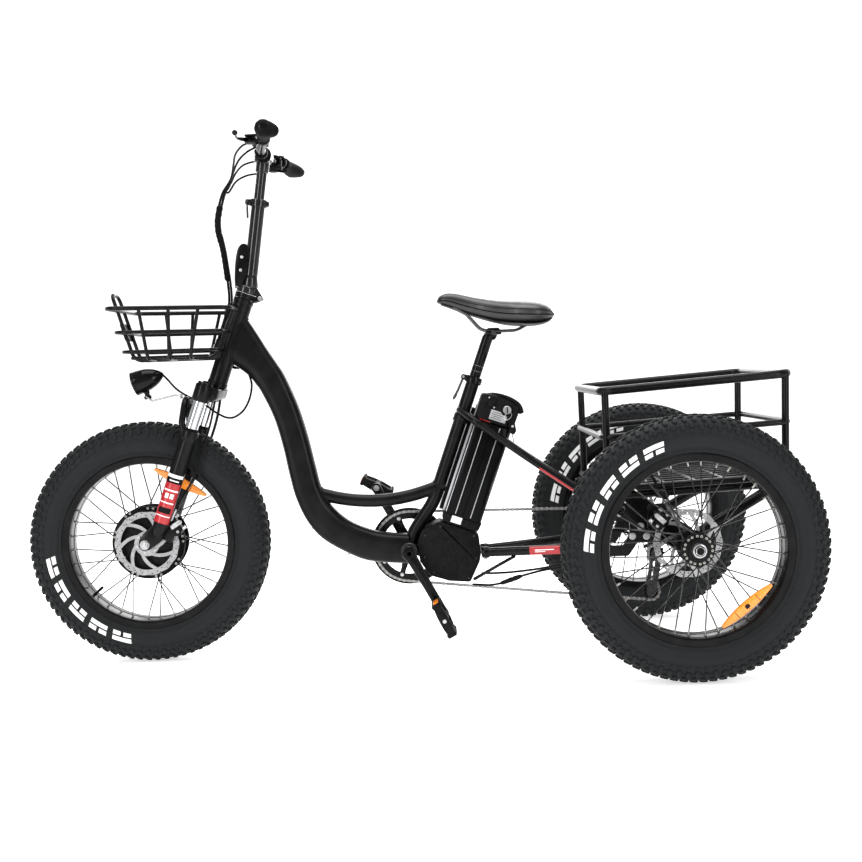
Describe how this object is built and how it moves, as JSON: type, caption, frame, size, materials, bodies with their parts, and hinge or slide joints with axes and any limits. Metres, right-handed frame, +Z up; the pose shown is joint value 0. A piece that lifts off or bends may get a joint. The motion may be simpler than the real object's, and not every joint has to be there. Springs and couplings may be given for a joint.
{
  "type": "adult tricycle",
  "caption": "Electric fat-tyre adult tricycle: low step-through frame, sprung fork, folding handlepost, front and rear baskets, seat-tube battery, disc brakes and chain drive.",
  "frame": {"origin": "on the ground, at the centre of the tricycle's footprint", "axes": "+Z up, the tricycle faces -Y, its left side is +X"},
  "size_m": [0.88, 1.8866, 1.277],
  "materials": {
    "frame_paint": "gloss",
    "rear_frame_paint": "satin",
    "basket_coat": "satin black powder coat",
    "fork_paint": "gloss black",
    "chrome": "polished",
    "zinc": "plated",
    "caliper": "satin black",
    "tyre": "matte",
    "rim": "satin black",
    "hub": "satin black",
    "rotor": "machined",
    "plastic": "fine texture",
    "battery": "satin black",
    "rubber": "matte",
    "saddle": "fine grain vinyl",
    "crank": "satin black",
    "drive": "oiled steel",
    "lamp": "gloss",
    "tail": "gloss"
  },
  "bodies": {
    "frame": {"head_tube": "frame_paint", "main_tube": "frame_paint", "step_tube": "frame_paint", "seat_tube": "frame_paint", "bb_shell": "frame_paint", "chain_stays": "frame_paint", "seat_stays": "frame_paint", "axle_housing": "rear_frame_paint", "subframe_rails": "rear_frame_paint", "controller_cover": "plastic", "basket_bracket": "rear_frame_paint", "front_basket": "basket_coat", "rear_basket": "basket_coat", "rear_calipers": "caliper", "derailleur_body": "drive", "chain": "drive", "tail_light": "tail", "seat_clamp": "frame_paint", "frame_cables": "rubber"},
    "steering": {"fork_crown": "frame_paint", "stanchions": "chrome", "stem_base": "frame_paint", "cables_lower": "rubber"},
    "lowers": {"fork_lowers": "fork_paint", "front_axle": "zinc", "front_caliper": "caliper", "headlight": "lamp"},
    "front_wheel": {"front_tyre": "tyre", "front_rim": "rim", "hub_motor": "hub", "front_rotor": "rotor"},
    "handlepost": {"handlepost": "frame_paint"},
    "latch": {"latch_lever": "frame_paint"},
    "bar": {"post_inner": "fork_paint", "handlebar": "fork_paint", "grips": "rubber", "controls": "plastic", "cables_upper": "rubber"},
    "lever_left": {"brake_lever_left": "caliper"},
    "lever_right": {"brake_lever_right": "caliper"},
    "seat": {"seatpost": "fork_paint", "saddle": "saddle"},
    "seat_lever": {"seat_lever": "frame_paint"},
    "battery": {"battery": "battery"},
    "key": {"key": "zinc"},
    "crank": {"crankset": "crank", "chainring": "drive"},
    "pedal_left": {"pedal_left": "crank"},
    "pedal_right": {"pedal_right": "crank"},
    "cassette": {"cassette": "drive"},
    "derailleur_cage": {"derailleur_cage": "drive"},
    "left_wheel": {"left_tyre": "tyre", "left_rim": "rim", "left_hub": "hub", "left_rotor": "rotor"},
    "right_wheel": {"right_tyre": "tyre", "right_rim": "rim", "right_hub": "hub", "right_rotor": "rotor"}
  },
  "joints": [
    {"name": "steer", "type": "hinge", "parent": "frame", "child": "steering", "pos_m": [0, -0.393, 0.89], "axis": [0, 0.3338, 0.9426], "range_deg": [-50, 50]},
    {"name": "fork_travel", "type": "slide", "parent": "steering", "child": "lowers", "axis": [0, 0.3338, 0.9426], "range_m": [0, 0.018], "stiffness_N_per_m": 16000, "springref_m": -0.03},
    {"name": "front_wheel_spin", "type": "hinge", "parent": "lowers", "child": "front_wheel", "pos_m": [0, -0.6434, 0.3], "axis": [1, 0, 0], "continuous": true},
    {"name": "post_fold", "type": "hinge", "parent": "steering", "child": "handlepost", "pos_m": [0, -0.35, 0.897], "axis": [-1, 0, 0], "range_deg": [0, 90]},
    {"name": "latch_open", "type": "hinge", "parent": "handlepost", "child": "latch", "pos_m": [0, -0.4045, 0.93], "axis": [1, 0, 0], "range_deg": [0, 100]},
    {"name": "stem_height", "type": "slide", "parent": "handlepost", "child": "bar", "axis": [0, 0.1414, 0.9899], "range_m": [0, 0.1]},
    {"name": "lever_left_pull", "type": "hinge", "parent": "bar", "child": "lever_left", "pos_m": [0.172, -0.34, 1.259], "axis": [0, 0, 1], "range_deg": [0, 18], "stiffness_Nm_per_rad": 2, "springref_deg": -8.59},
    {"name": "lever_right_pull", "type": "hinge", "parent": "bar", "child": "lever_right", "pos_m": [-0.172, -0.34, 1.259], "axis": [0, 0, -1], "range_deg": [0, 18], "stiffness_Nm_per_rad": 2, "springref_deg": -8.59},
    {"name": "seat_height", "type": "slide", "parent": "frame", "child": "seat", "axis": [0, 0.336, 0.9419], "range_m": [-0.085, 0.09]},
    {"name": "seat_lever_open", "type": "hinge", "parent": "frame", "child": "seat_lever", "pos_m": [0, 0.14949, 0.69055], "axis": [-1, 0, 0], "range_deg": [0, 110]},
    {"name": "battery_out", "type": "slide", "parent": "frame", "child": "battery", "axis": [0, 0.336, 0.9419], "range_m": [0, 0.12]},
    {"name": "key_turn", "type": "hinge", "parent": "battery", "child": "key", "pos_m": [0.042, 0.25399, 0.60549], "axis": [1, 0, 0], "range_deg": [0, 90]},
    {"name": "crank_spin", "type": "hinge", "parent": "frame", "child": "crank", "pos_m": [0, 0.003, 0.261], "axis": [1, 0, 0], "continuous": true, "deforming": ["chain"]},
    {"name": "pedal_left_spin", "type": "hinge", "parent": "crank", "child": "pedal_left", "pos_m": [0.14, 0.08412, 0.1116], "axis": [1, 0, 0], "continuous": true},
    {"name": "pedal_right_spin", "type": "hinge", "parent": "crank", "child": "pedal_right", "pos_m": [-0.14, -0.07812, 0.4104], "axis": [1, 0, 0], "continuous": true},
    {"name": "cassette_spin", "type": "hinge", "parent": "frame", "child": "cassette", "pos_m": [-0.06, 0.6434, 0.3], "axis": [1, 0, 0], "continuous": true},
    {"name": "derailleur_swing", "type": "hinge", "parent": "frame", "child": "derailleur_cage", "pos_m": [-0.056, 0.634, 0.226], "axis": [1, 0, 0], "range_deg": [-18, 15], "stiffness_Nm_per_rad": 1, "springref_deg": 17.19, "deforming": ["chain"]},
    {"name": "left_wheel_spin", "type": "hinge", "parent": "frame", "child": "left_wheel", "pos_m": [0.3836, 0.6434, 0.3], "axis": [1, 0, 0], "continuous": true},
    {"name": "right_wheel_spin", "type": "hinge", "parent": "frame", "child": "right_wheel", "pos_m": [-0.3836, 0.6434, 0.3], "axis": [1, 0, 0], "continuous": true}
  ],
  "couplings": [
    {"joint": "cassette_spin", "follows": "crank_spin", "ratio": 2}
  ]
}
